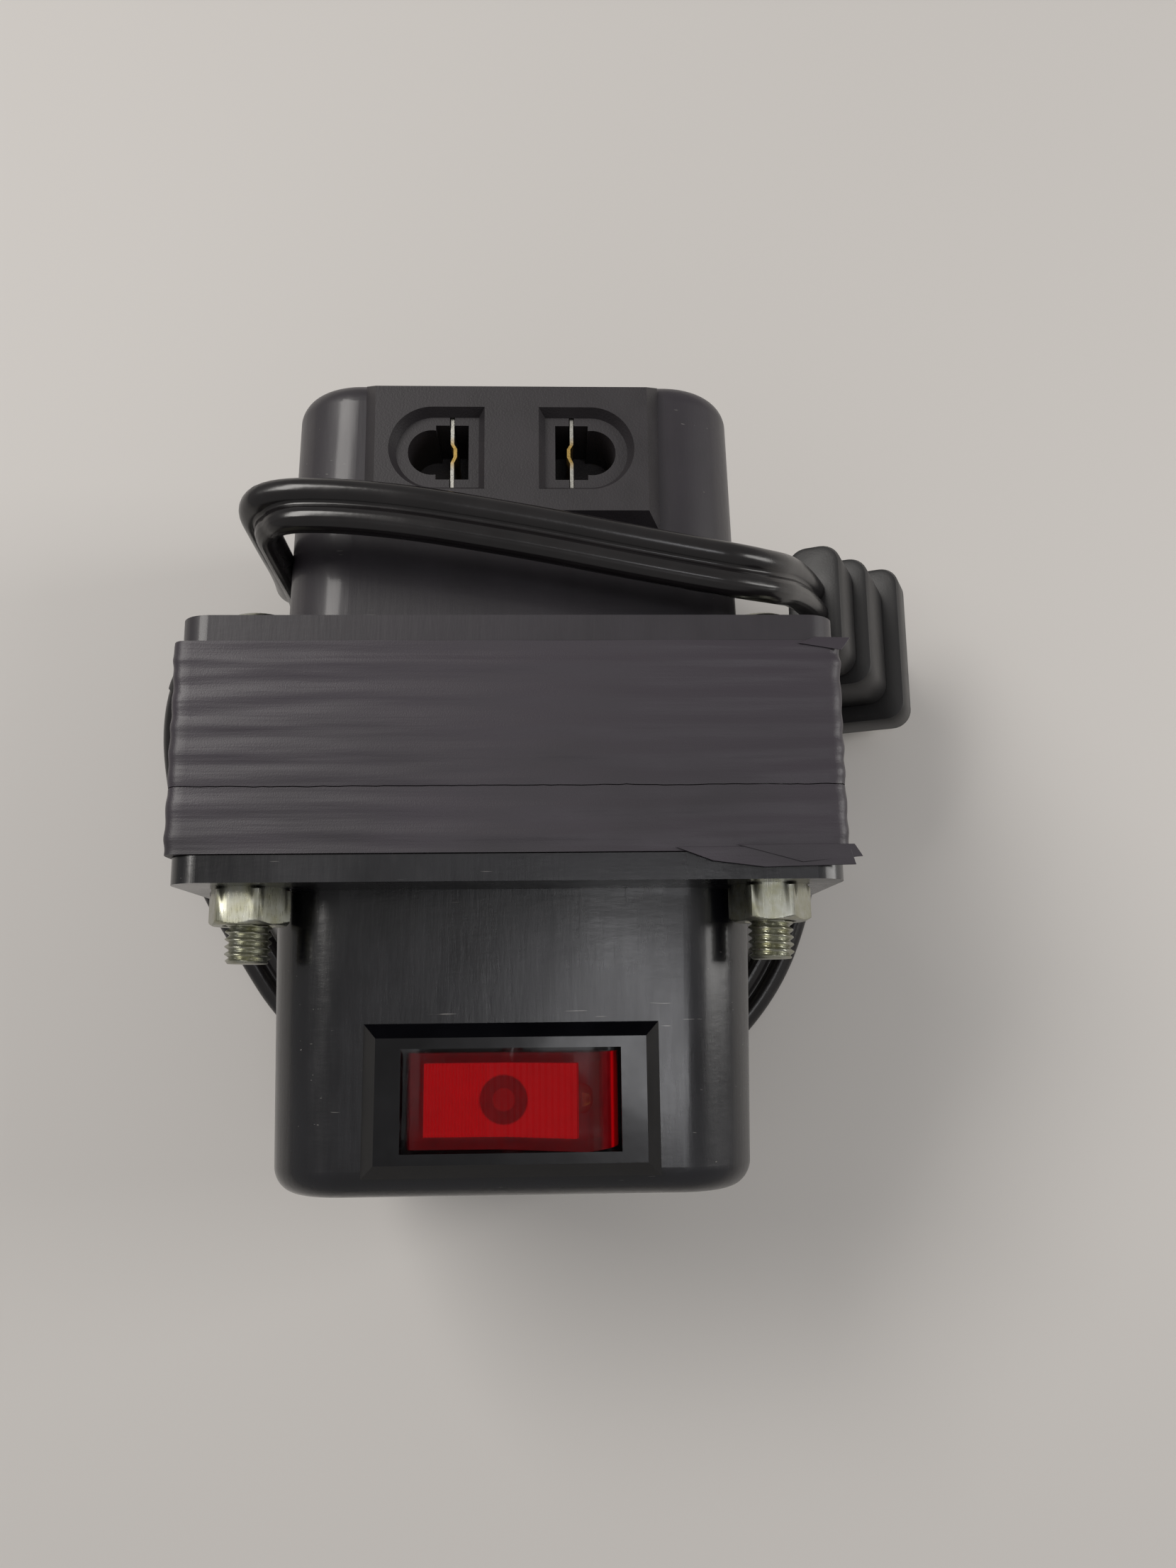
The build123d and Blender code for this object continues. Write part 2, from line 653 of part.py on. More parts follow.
def make_wires(coil_reach):
    """Insulated wires between the switch, the coil, the outlet and the lead's end."""
    floor = bell_top - switch_depth - spade_len
    tail = bell_top - outlet_depth - leaf_tail
    coil_front = -half_stack - coil_reach
    feed_x, load_x = spade_places()[1], spade_places()[0]
    routes = {
        "feed_wire": [(grommet_back, grommet_y - 1.5, grommet_z),
                      (wire_x, grommet_y - 1.5, grommet_z),
                      (wire_x, coil_front - 3.0, grommet_z),
                      (feed_x, switch_y, floor - 5.0),
                      (feed_x, switch_y, floor)],
        "load_wire": [(load_x, switch_y, floor),
                      (load_x, switch_y, floor - 3.0),
                      (-12.0, coil_front - 3.5, core_z + 5.0),
                      (-12.0, coil_front - wire_r, core_z + 9.0)],
        "tap_wire": [(leaf_x, outlet_y, tail),
                     (leaf_x, outlet_y, tail - 5.0),
                     (12.0, -coil_front + 3.0, core_z - 2.0),
                     (12.0, -coil_front + wire_r, core_z + 4.0)],
        "return_wire": [(grommet_back, grommet_y + 1.5, grommet_z),
                        (wire_x, grommet_y + 1.5, grommet_z),
                        (wire_x, -coil_front + 4.0, grommet_z),
                        (-leaf_x, outlet_y, tail - 6.0),
                        (-leaf_x, outlet_y, tail)],
    }
    parts = {}
    for name, route in routes.items():
        bends = [wire_bend] * (len(route) - 2)
        parts[name], _ = tube(route, wire_r, bends)
    fuse_y = coil_front - fuse_r - 0.05
    fuse = rod((-fuse_len / 2 + 8, fuse_y, core_z + 8), (fuse_len / 2 + 8, fuse_y, core_z + 8),
               fuse_r)
    parts["thermal_fuse"] = fuse
    return parts


def make_all():
    parts = {}
    parts.update(make_core())
    parts.update(make_core_tapes())
    coil, coil_reach = make_coil()
    parts.update(coil)
    parts.update(make_bells())
    parts.update(make_fasteners())
    parts["switch_housing"] = make_switch_housing()
    parts.update(make_rocker_group())
    parts.update(make_switch_contacts())
    parts.update(make_outlet())
    parts["lead_grommet"] = make_grommet()
    parts.update(make_plug())
    parts.update(make_lead())
    parts.update(make_wires(coil_reach))
    return parts


os.makedirs("parts", exist_ok=True)
for node, shape in make_all().items():
    export_step(shape, f"parts/{node}.step")
    print(f"{node:22s} {len(shape.solids())} solids {shape.volume:10.1f} mm3")
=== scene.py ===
"""Looks of a small plug-in autotransformer, built as pieces around its fixed frame.

X runs along the core's long edge, Y along the clamp bolts and Z up; the front is -Y.
Numbers in this file are millimetres; meshes are in metres.
"""

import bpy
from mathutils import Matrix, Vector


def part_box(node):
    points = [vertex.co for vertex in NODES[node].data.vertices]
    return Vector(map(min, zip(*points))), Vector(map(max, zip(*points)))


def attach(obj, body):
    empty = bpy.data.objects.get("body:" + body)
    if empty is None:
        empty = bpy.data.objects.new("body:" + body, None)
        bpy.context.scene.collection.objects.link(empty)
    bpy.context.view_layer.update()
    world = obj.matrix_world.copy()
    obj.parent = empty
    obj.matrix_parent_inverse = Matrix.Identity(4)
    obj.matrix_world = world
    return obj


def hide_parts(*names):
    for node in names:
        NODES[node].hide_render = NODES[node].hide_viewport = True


bl_info = {
    "name": "Plug-in Autotransformer",
    "version": (1, 0, 0),
    "blender": (4, 5, 0),
    "location": "View3D > Sidebar > Transformer",
    "description": "Builds the visible pieces of a taped, belled autotransformer with its lead",
    "category": "Add Mesh",
}

from math import cos, exp, pi, radians, sin, tau
from types import SimpleNamespace

import bmesh
import bpy
from mathutils import Matrix, Vector, noise

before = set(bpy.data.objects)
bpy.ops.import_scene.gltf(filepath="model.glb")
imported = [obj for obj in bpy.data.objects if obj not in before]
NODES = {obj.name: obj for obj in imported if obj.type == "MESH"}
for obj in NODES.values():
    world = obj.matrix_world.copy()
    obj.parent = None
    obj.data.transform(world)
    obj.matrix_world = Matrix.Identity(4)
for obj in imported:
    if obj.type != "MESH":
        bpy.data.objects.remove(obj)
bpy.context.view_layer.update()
MM = 0.001


def srgb(red, green, blue, alpha=1.0):
    """A display colour of 0 to 255 as the linear colour a shader takes."""
    def linear(value):
        value /= 255
        return value / 12.92 if value <= 0.04045 else ((value + 0.055) / 1.055) ** 2.4

    return (linear(red), linear(green), linear(blue), alpha)


def paler(colour, times=1.6):
    """The same colour, lighter or darker."""
    return (*(min(1.0, c * times) for c in colour[:3]), 1.0)


# --- finishes ----------------------------------------------------------------------------------

class Finish:
    """A procedural material: one Principled shader and the nodes that feed it."""

    def __init__(self, name, **constants):
        self.material = bpy.data.materials.new(name)
        self.material.use_nodes = True
        self.nodes = self.material.node_tree.nodes
        self.links = self.material.node_tree.links
        self.shader = self.nodes["Principled BSDF"]
        for key, value in constants.items():
            self.shader.inputs[key.replace("_", " ")].default_value = value
        self.source = self.nodes.new("ShaderNodeTexCoord").outputs["Object"]

    def plug(self, socket, value):
        if isinstance(value, bpy.types.NodeSocket):
            self.links.new(value, socket)
        else:
            socket.default_value = value

    def place(self, scale=(1, 1, 1), turn=(0, 0, 0), shift=(0, 0, 0)):
        """Object coordinates, turned, scaled and moved."""
        node = self.nodes.new("ShaderNodeMapping")
        self.links.new(self.source, node.inputs["Vector"])
        node.inputs["Scale"].default_value = scale
        node.inputs["Rotation"].default_value = turn
        node.inputs["Location"].default_value = shift
        return node.outputs["Vector"]

    def noise(self, size_mm, vector=None, detail=3.0, rough=0.5, warp=0.0):
        """Noise whose features are about size_mm across."""
        node = self.nodes.new("ShaderNodeTexNoise")
        self.links.new(vector or self.source, node.inputs["Vector"])
        node.inputs["Scale"].default_value = 1 / (size_mm * MM)
        node.inputs["Detail"].default_value = detail
        node.inputs["Roughness"].default_value = rough
        node.inputs["Distortion"].default_value = warp
        return node.outputs["Fac"]

    def waves(self, pitch_mm, axis, warp=0.0, vector=None):
        """Straight ribs across one axis."""
        node = self.nodes.new("ShaderNodeTexWave")
        self.links.new(vector or self.source, node.inputs["Vector"])
        node.bands_direction = axis
        node.inputs["Scale"].default_value = tau / (20 * pitch_mm * MM)
        node.inputs["Distortion"].default_value = warp
        return node.outputs["Fac"]

    def math(self, operation, first, second=0.0):
        node = self.nodes.new("ShaderNodeMath")
        node.operation = operation
        self.plug(node.inputs[0], first)
        self.plug(node.inputs[1], second)
        return node.outputs["Value"]

    def between(self, value, low, high, to_low=0.0, to_high=1.0):
        """The value's stretch from low to high, spread over another stretch and clamped."""
        node = self.nodes.new("ShaderNodeMapRange")
        self.links.new(value, node.inputs["Value"])
        for key, number in (("From Min", low), ("From Max", high),
                            ("To Min", to_low), ("To Max", to_high)):
            node.inputs[key].default_value = number
        return node.outputs["Result"]

    def mix(self, factor, first, second):
        node = self.nodes.new("ShaderNodeMix")
        node.data_type = "RGBA"
        self.plug(node.inputs["Factor"], factor)
        self.plug(node.inputs["A"], first)
        self.plug(node.inputs["B"], second)
        return node.outputs["Result"]

    def axis(self, name):
        """One of the object's coordinates, in metres."""
        node = self.nodes.new("ShaderNodeSeparateXYZ")
        self.links.new(self.source, node.inputs["Vector"])
        return node.outputs[name]

    def far_from(self, point_mm):
        """Distance from a vertical line through the point, in millimetres."""
        x = self.math("SUBTRACT", self.axis("X"), point_mm[0] * MM)
        y = self.math("SUBTRACT", self.axis("Y"), point_mm[1] * MM)
        square = self.math("ADD", self.math("MULTIPLY", x, x), self.math("MULTIPLY", y, y))
        return self.math("MULTIPLY", self.math("SQRT", square), 1 / MM)

    def colour(self, value):
        self.plug(self.shader.inputs["Base Color"], value)
        return self

    def roughness(self, value):
        self.plug(self.shader.inputs["Roughness"], value)
        return self

    def relief(self, height, depth_mm, strength=1.0):
        """Bump of about depth_mm, on top of any already there."""
        node = self.nodes.new("ShaderNodeBump")
        self.links.new(height, node.inputs["Height"])
        node.inputs["Strength"].default_value = strength
        node.inputs["Distance"].default_value = depth_mm * MM
        before = self.shader.inputs["Normal"].links
        if before:
            self.links.new(before[0].from_socket, node.inputs["Normal"])
        self.links.new(node.outputs["Normal"], self.shader.inputs["Normal"])
        return self


def tape_finish(rear, front):
    """Charcoal wrapping tape: satin, fine grain, soft ripples along its length; its front strip is
    painted darker than the rear, as painted shade.
    """
    f = Finish("charcoal tape", IOR=1.48)
    cloud = f.noise(9, f.place((0.5, 1, 1)), 4)
    grain = f.noise(0.16, detail=2)
    # painted shade: the front of the tape is painted darker, blending to the rear colour along Y
    base = f.mix(f.between(f.axis("Y"), -0.012, 0.010), front, rear)
    f.colour(f.mix(f.between(cloud, 0.3, 0.7), base, paler(rear, 1.1)))
    f.roughness(f.between(cloud, 0.3, 0.7, 0.5, 0.38))
    ripple = f.noise(1.5, f.place((0.06, 1, 1)), 3)
    f.relief(ripple, 0.2, 0.55)
    return f.relief(grain, 0.03, 0.5).material


def enamel_finish(name, dark, pale, smooth, rough):
    """Enamelled steel with draw marks, fine scratches and dull patches."""
    f = Finish(name, IOR=1.5, Coat_Weight=0.3, Coat_Roughness=0.14)
    cloud = f.noise(11, f.place((1, 0.6, 1)), 4, 0.55)
    draw = f.noise(0.5, f.place((0.5, 0.06, 0.5)), 4, 0.65)
    hair = f.noise(0.35, f.place((0.05, 1, 1), (0, 0, 0.12)), 2)
    scratch = f.between(hair, 0.74, 0.77)
    base = f.mix(f.between(cloud, 0.35, 0.75), dark, pale)
    f.colour(f.mix(scratch, base, srgb(96, 94, 92)))
    worn = f.math("ADD", f.between(cloud, 0.35, 0.75, smooth, rough),
                  f.between(draw, 0.3, 0.8, 0, 0.08))
    f.roughness(worn)
    f.relief(draw, 0.05, 0.5)
    f.relief(f.noise(1.4, f.place((0.35, 1, 1)), 4, 0.6), 0.05, 0.45)
    return f.relief(f.noise(12, detail=1), 0.25, 0.3).material


def metal_finish(name, pale, warm, rough=0.3, brush=(1, 0.08, 1)):
    """Plated metal with a fine brush and uneven warm patches."""
    f = Finish(name, Metallic=1.0)
    patch = f.noise(1.6, detail=4, rough=0.6)
    lines = f.noise(0.12, f.place(brush), 3)
    f.colour(f.mix(f.between(patch, 0.35, 0.7), pale, warm))
    f.roughness(f.between(lines, 0.25, 0.75, rough - 0.08, rough + 0.12))
    return f.relief(lines, 0.012, 0.5).material


def plastic_finish(name, colour, light, rough, grain_mm, depth_mm, **constants):
    """Moulded plastic: a spark-eroded grain and faint cloudiness."""
    f = Finish(name, IOR=1.5, **constants)
    cloud = f.noise(5, detail=3)
    f.colour(f.mix(f.between(cloud, 0.3, 0.7), colour, light))
    f.roughness(f.between(cloud, 0.3, 0.7, rough, rough + 0.08))
    return f.relief(f.noise(grain_mm, detail=2), depth_mm, 0.6).material


def winding_finish(name, colour, light, pitch_mm):
    """Enamelled wire, wound turn by turn up the leg; each turn is painted lighter along its crest and
    darker in the groove, as painted highlight and shade.
    """
    f = Finish(name, Metallic=0.85)
    turns = f.waves(pitch_mm, "Z")
    # painted highlight and shade: light along each turn's crest, dark in the grooves between turns
    f.colour(f.mix(f.between(turns, 0.1, 0.7), colour, light))
    f.roughness(f.between(f.noise(2), 0.3, 0.7, 0.25, 0.4))
    return f.relief(turns, pitch_mm * 0.4).material


def sheets_finish():
    """Stacked steel sheets seen edge on, with the odd rust-brown one."""
    f = Finish("core sheets", Metallic=0.9)
    sheets = f.waves(0.5, "Y", 0.2)
    stain = f.noise(0.5, f.place((0.05, 1, 0.05)), 2)
    f.colour(f.mix(f.between(stain, 0.55, 0.7), srgb(112, 112, 116), srgb(96, 82, 70)))
    f.roughness(f.between(stain, 0.3, 0.7, 0.35, 0.6))
    return f.relief(sheets, 0.12).material


def leaf_finish():
    """Nickel-plated contact leaf whose kink has worn to brass."""
    f = Finish("contact leaf", Metallic=1.0)
    y = f.math("MULTIPLY", f.axis("Y"), 1 / MM)
    away = f.math("ABSOLUTE", f.math("SUBTRACT", y, 37.2))
    brush = f.noise(0.15, f.place((1, 1, 0.08)), 3)
    f.colour(f.mix(f.between(away, 0.9, 2.2), srgb(196, 164, 96), srgb(206, 204, 196)))
    f.roughness(f.between(brush, 0.3, 0.7, 0.24, 0.42))
    return f.relief(brush, 0.01, 0.4).material


def diffuser_glow_and_post_shade_finish(bright, middle, ring, bore):
    """Bright red diffuser with a painted glow from its emission; the post below is painted on it as a
    dark ring of painted shade.
    """
    # painted glow: the diffuser emits a faint red light of its own
    f = Finish("red diffuser", Roughness=0.4, IOR=1.49, Specular_IOR_Level=0.2,
               Emission_Strength=0.06, Emission_Color=srgb(255, 8, 18))
    away = f.far_from(middle)
    # painted shade: a dark disc where the post stands under the diffuser, a little lighter over the
    # bore
    dark = f.math("MULTIPLY", f.between(away, ring + 0.1, ring - 0.1),
                  f.between(away, bore - 0.1, bore + 0.1, 0.7, 1.0))
    shade = f.mix(f.noise(2), paler(bright, 0.9), paler(bright, 1.1))
    return f.colour(f.mix(dark, shade, srgb(20, 1, 2))).material


def rocker_finish(cap, bright):
    """Clear red rocker cap; its right end wall is painted in the bright diffuser red, as painted
    glow.
    """
    f = Finish("clear red cap", IOR=1.45, Specular_IOR_Level=0.3,
               Coat_Weight=0.15, Coat_Roughness=0.05)
    haze = f.noise(1.2, detail=3)
    x = f.math("MULTIPLY", f.axis("X"), 1 / MM)
    wall = f.between(x, 9.2, 9.9)
    # painted glow: past x 10.6 mm the cap's end wall takes the bright diffuser colour
    glow = f.between(x, 10.6, 10.9)
    inside = f.mix(f.between(haze, 0.3, 0.7), cap, paler(cap, 1.5))
    f.colour(f.mix(glow, inside, bright))
    f.plug(f.shader.inputs["Alpha"], f.math("MAXIMUM", f.math("MULTIPLY", wall, 0.86), 0.34))
    return f.roughness(f.between(haze, 0.3, 0.7, 0.08, 0.16)).material


# --- meshes ------------------------------------------------------------------------------------

def piece(name, points, faces, material, smooth=True):
    """A piece from points in millimetres."""
    mesh = bpy.data.meshes.new(name)
    mesh.from_pydata([Vector(p) * MM for p in points], [], faces)
    mesh.validate()
    mesh.polygons.foreach_set("use_smooth", [smooth] * len(mesh.polygons))
    made = bpy.data.objects.new(name, mesh)
    bpy.context.scene.collection.objects.link(made)
    mesh.materials.append(material)
    outward(mesh)
    return made


def outward(mesh):
    """Merges doubles and points every face outwards."""
    edit = bmesh.new()
    edit.from_mesh(mesh)
    bmesh.ops.remove_doubles(edit, verts=edit.verts, dist=0.002 * MM)
    bmesh.ops.recalc_face_normals(edit, faces=edit.faces)
    edit.to_mesh(mesh)
    edit.free()


def join_rings(rings, closed_ends=True):
    """Points and faces of a skin over closed rings of equal length."""
    count = len(rings[0])
    points = [p for ring in rings for p in ring]
    faces = []
    for low in range(len(rings) - 1):
        for i in range(count):
            j = (i + 1) % count
            a, b = low * count, (low + 1) * count
            faces.append((a + i, a + j, b + j, b + i))
    if closed_ends:
        last = (len(rings) - 1) * count
        faces.append(tuple(reversed(range(count))))
        faces.append(tuple(range(last, last + count)))
    return points, faces


def rounded(width, height, corner, steps=6):
    """Points round a rectangle with round corners, centred on zero."""
    points = []
    for turn, (sx, sy) in enumerate(((1, 1), (-1, 1), (-1, -1), (1, -1))):
        for step in range(steps + 1):
            angle = (turn + step / steps) * pi / 2
            points.append((sx * (width / 2 - corner) + corner * cos(angle),
                           sy * (height / 2 - corner) + corner * sin(angle)))
    return points


def bevelled(made, width_mm, segments=3, angle=35):
    """Rounds the piece's sharp edges and keeps its flats flat."""
    bevel = made.modifiers.new("edges", "BEVEL")
    bevel.width = width_mm * MM
    bevel.segments = segments
    bevel.angle_limit = radians(angle)
    bevel.harden_normals = True
    return made


def settle(made, body, slot, *replaced):
    """The piece rides on its body and stands for the CAD nodes it replaces."""
    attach(made, body)
    if replaced:
        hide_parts(*replaced)
    return made


def dress(node, material):
    """A CAD node keeps its shape and gets a finish."""
    slots = NODES[node].material_slots
    if not slots:
        NODES[node].data.materials.append(material)
    for slot in slots:
        slot.material = material


# --- the lead's route --------------------------------------------------------------------------

BELL_WALL_X = -27.636
GROMMET_OUT = 10.6
GROMMET = (BELL_WALL_X - GROMMET_OUT, 21.0, 22.5)
PLUG_TOP = Vector((38.2, 22.8, 42.0))
PLUG_AXIS = Vector((sin(radians(25)), 0, -cos(radians(25))))

LEAD_ROUTE = [
    GROMMET,
    (-45.0, 21.0, 22.5),
    (-48.5, 13.0, 18.0),
    (-49.0, 3.0, 11.0),
    (-46.5, -7.5, 5.0),
    (-41.0, -17.5, 2.2),
    (-34.5, -27.5, 1.8),
    (-22.5, -37.0, 1.8),
    (-7.0, -42.0, 1.8),
    (10.0, -41.5, 1.8),
    (25.5, -36.0, 1.8),
    (36.5, -25.0, 1.8),
    (42.0, -12.0, 1.8),
    (43.8, 1.0, 1.8),
    (42.5, 14.0, 1.8),
    (35.0, 26.0, 1.8),
    (22.5, 35.0, 1.8),
    (7.0, 40.0, 1.9),
    (-9.0, 41.0, 2.1),
    (-22.5, 38.5, 3.6),
    (-30.8, 34.0, 10.5),
    (-32.2, 30.0, 21.5),
    (-29.9, 28.0, 34.0),
    (-29.4, 27.6, 46.5),
    (-29.4, 28.4, 58.8),
    (-16.0, 27.6, 60.5),
    (1.0, 25.0, 60.0),
    (17.0, 21.7, 60.0),
    (28.5, 19.8, 59.5),
    tuple(PLUG_TOP - 8 * PLUG_AXIS),
    tuple(PLUG_TOP),
]


def line_of(route):
    """Points read from a smooth spline whose control points are the route's."""
    data = bpy.data.curves.new("route", "CURVE")
    data.dimensions = "3D"
    spline = data.splines.new("NURBS")
    spline.points.add(len(route) - 1)
    for point, place in zip(spline.points, route):
        point.co = (*(Vector(place) * MM), 1)
    spline.order_u = 3
    spline.use_endpoint_u = True
    spline.resolution_u = 12
    holder = bpy.data.objects.new("route", data)
    bpy.context.scene.collection.objects.link(holder)
    bpy.context.view_layer.update()
    mesh = bpy.data.meshes.new_from_object(holder)
    points = [v.co.copy() / MM for v in mesh.vertices]
    bpy.data.objects.remove(holder)
    bpy.data.meshes.remove(mesh)
    return points


def frames_along(points):
    """Each point with its forward, sideways and upward directions; sideways stays level."""
    result, side = [], None
    for i, point in enumerate(points):
        ahead = (points[min(i + 1, len(points) - 1)] - points[max(i - 1, 0)]).normalized()
        level = ahead.cross(Vector((0, 0, 1)))
        if side is None:
            side = level.normalized()
        if level.length > 0.75:
            level.normalize()
            level = level if level.dot(side) > 0 else -level
            side = side.lerp(level, 0.35)
        side = (side - ahead * side.dot(ahead)).normalized()
        result.append((point, ahead, side, side.cross(ahead)))
    return result


# --- sizes and colours a user may change -------------------------------------------------------

def length(name, description, size_mm):
    """A length property, given in millimetres and kept in metres."""
    return bpy.props.FloatProperty(name=name, description=description, default=size_mm * MM,
                                   min=0.0, unit="LENGTH", precision=4)


def tint(name, description, red, green, blue):
    """A colour property, given as a display colour of 0 to 255."""
    return bpy.props.FloatVectorProperty(name=name, description=description, subtype="COLOR",
                                         size=4, min=0.0, max=1.0,
                                         default=srgb(red, green, blue))


class LeadSizes(bpy.types.PropertyGroup):
    """Sizes of the flat twin lead."""

    width: length("Width", "Across both cores", 6.3)
    height: length("Height", "Across one core", 3.2)
    ribs: bpy.props.IntProperty(name="Ribs", description="Fine ribs on one core", default=9, min=3)


class BodySizes(bpy.types.PropertyGroup):
    """Sizes of the transformer's fittings."""

    bolt_dx: length("Bolt spacing X", "Between bolts along the core", 57.5)
    bolt_dz: length("Bolt spacing Z", "Between bolts up the core", 46.0)
    core_z: length("Core height", "Middle of the core above the table", 30.8)
    face_y: length("Flange face", "Flange face from the middle", 14.6)
    thread_d: length("Thread", "Outside diameter of the studs", 5.0)
    thread_pitch: length("Pitch", "Pitch of the studs' thread", 0.8)
    nut_t: length("Nut thickness", "Along the stud", 4.0)
    stud_out: length("Stud past nut", "Thread that shows", 4.1)


class Colours(bpy.types.PropertyGroup):
    """Colours of the pieces in view."""

    tape: tint("Tape", "Wrapping tape at the rear", 50, 45, 52)
    # the front tape colour is the rear tape's colour painted darker, as painted shade
    tape_front_painted_shade: tint("Front tape", "Wrapping tape at the front, painted darker as shade", 36, 33, 38)
    front_bell: tint("Front bell", "Enamel of the front bell", 4, 4, 9)
    # the rear bell is painted lighter than the front bell, as painted light on the same black enamel
    rear_bell: tint("Rear bell", "Enamel of the rear bell, painted lighter as lit", 30, 26, 32)
    zinc: tint("Zinc", "Plating of the bolts and nuts", 166, 167, 158)
    bezel: tint("Bezel", "Moulding of the switch", 4, 4, 6)
    cap: tint("Rocker", "Clear cap of the switch", 96, 2, 8)
    diffuser: tint("Diffuser", "Ribbed piece under the cap", 240, 4, 16)
    outlet: tint("Outlet", "Moulding of the outlet", 35, 32, 35)
    lead: tint("Lead", "Vinyl of the lead", 18, 16, 17)
    plug: tint("Plug", "Vinyl of the plug and strain relief", 18, 17, 18)


def in_mm(group):
    """A group's sizes in millimetres, by name."""
    values = {key: getattr(group, key) for key in group.__annotations__}
    return SimpleNamespace(**{k: v / MM if isinstance(v, float) else v for k, v in values.items()})


# --- repeats -----------------------------------------------------------------------------------

def at_the_corners(made, sizes, y_mm, material):
    """Sets the piece at the four bolt places with a geometry node tree, as one mesh."""
    tree = bpy.data.node_groups.new("four places", "GeometryNodeTree")
    face = tree.interface
    face.new_socket("Geometry", in_out="INPUT", socket_type="NodeSocketGeometry")
    wide = face.new_socket("Spacing X", in_out="INPUT", socket_type="NodeSocketFloat")
    high = face.new_socket("Spacing Z", in_out="INPUT", socket_type="NodeSocketFloat")
    centre = face.new_socket("Centre", in_out="INPUT", socket_type="NodeSocketVector")
    face.new_socket("Geometry", in_out="OUTPUT", socket_type="NodeSocketGeometry")
    new, link = tree.nodes.new, tree.links.new
    start, end = new("NodeGroupInput"), new("NodeGroupOutput")
    grid = new("GeometryNodeMeshGrid")
    grid.inputs["Vertices X"].default_value = 2
    grid.inputs["Vertices Y"].default_value = 2
    link(start.outputs["Spacing X"], grid.inputs["Size X"])
    link(start.outputs["Spacing Z"], grid.inputs["Size Y"])
    stand = new("GeometryNodeTransform")
    stand.inputs["Rotation"].default_value = (pi / 2, 0, 0)
    link(grid.outputs["Mesh"], stand.inputs["Geometry"])
    link(start.outputs["Centre"], stand.inputs["Translation"])
    copies = new("GeometryNodeInstanceOnPoints")
    link(stand.outputs["Geometry"], copies.inputs["Points"])
    link(start.outputs["Geometry"], copies.inputs["Instance"])
    real, finish = new("GeometryNodeRealizeInstances"), new("GeometryNodeSetMaterial")
    finish.inputs["Material"].default_value = material
    link(copies.outputs["Instances"], real.inputs["Geometry"])
    link(real.outputs["Geometry"], finish.inputs["Geometry"])
    link(finish.outputs["Geometry"], end.inputs["Geometry"])
    modifier = made.modifiers.new("four places", "NODES")
    modifier.node_group = tree
    modifier[wide.identifier] = sizes.bolt_dx * MM
    modifier[high.identifier] = sizes.bolt_dz * MM
    modifier[centre.identifier] = (0.0, y_mm * MM, sizes.core_z * MM)
    bpy.context.view_layer.update()
    seen = made.evaluated_get(bpy.context.evaluated_depsgraph_get())
    whole = bpy.data.meshes.new_from_object(seen)
    made.modifiers.remove(modifier)
    made.data = whole
    return made


class TRANSFORMER_OT_stage(bpy.types.Operator):
    """Floor, lights, world and camera"""

    bl_idname = "transformer.stage"
    bl_label = "Stage"

    SOFTBOXES = (  # name, place, size, watts, colour
        ("window", (-420, 300, 620), (460, 260), 3.6, (1.0, 0.97, 0.93)),
        ("ceiling", (118, -62, 900), (130, 220), 0.5, (0.97, 0.97, 1.0)),
        ("side", (520, 60, 300), (160, 420), 1.3, (1.0, 0.98, 0.95)),
    )
    CAMERA_PLACE = (4.40, -27.81, 184.56)
    PITCH, ROLL, LEAN = 0.1881, -0.0111, -0.0323
    LENS, SENSOR = 27.01, 36

    def execute(self, context):
        scene = context.scene
        scene.view_settings.view_transform = "Standard"
        world = bpy.data.worlds.new("room")
        scene.world = world
        world.use_nodes = True
        background = world.node_tree.nodes["Background"]
        background.inputs["Color"].default_value = srgb(214, 212, 210)
        background.inputs["Strength"].default_value = 0.5

        edge = 3000
        ground = Finish("pale table", Roughness=0.6)
        cloud = ground.noise(260, detail=2)
        ground.colour(ground.mix(cloud, srgb(200, 197, 194), srgb(194, 191, 188)))
        corners = [(-edge, -edge, 0), (edge, -edge, 0), (edge, edge, 0), (-edge, edge, 0)]
        table = piece("table", corners, [(0, 1, 2, 3)], ground.material)

        for lamp in self.SOFTBOXES:
            self.softbox(*lamp)
        self.camera(scene)
        return {"FINISHED"}

    def softbox(self, name, place, size, power, colour):
        lamp = bpy.data.lights.new(name, "AREA")
        lamp.shape = "RECTANGLE"
        lamp.size, lamp.size_y = size[0] * MM, size[1] * MM
        lamp.energy = power
        lamp.color = colour
        holder = bpy.data.objects.new(name, lamp)
        bpy.context.scene.collection.objects.link(holder)
        aim = Vector((0, 0, 30)) - Vector(place)
        holder.matrix_world = (Matrix.Translation(Vector(place) * MM)
                               @ aim.to_track_quat("-Z", "Y").to_matrix().to_4x4())

    def camera(self, scene):
        """Stands above the front, looking down and a little back."""
        pitch, roll, tilt = self.PITCH, self.ROLL, self.LEAN
        forward = Vector((0, sin(pitch), -cos(pitch)))
        up = Vector((0, cos(pitch), sin(pitch)))
        right = Vector((1, 0, 0))
        turned_right = cos(roll) * right + sin(roll) * up
        turned_up = cos(roll) * up - sin(roll) * right
        lean = Matrix(((cos(tilt), 0, sin(tilt)), (0, 1, 0), (-sin(tilt), 0, cos(tilt))))
        axes = [lean @ turned_right, lean @ turned_up, lean @ -forward]
        place = Vector(self.CAMERA_PLACE) * MM
        data = bpy.data.cameras.new("camera")
        data.sensor_width = self.SENSOR
        data.sensor_fit = "AUTO"
        data.lens = self.LENS
        data.clip_start = 0.01
        holder = bpy.data.objects.new("camera", data)
        scene.collection.objects.link(holder)
        holder.matrix_world = Matrix.Translation(place) @ Matrix(axes).transposed().to_4x4()
        scene.camera = holder


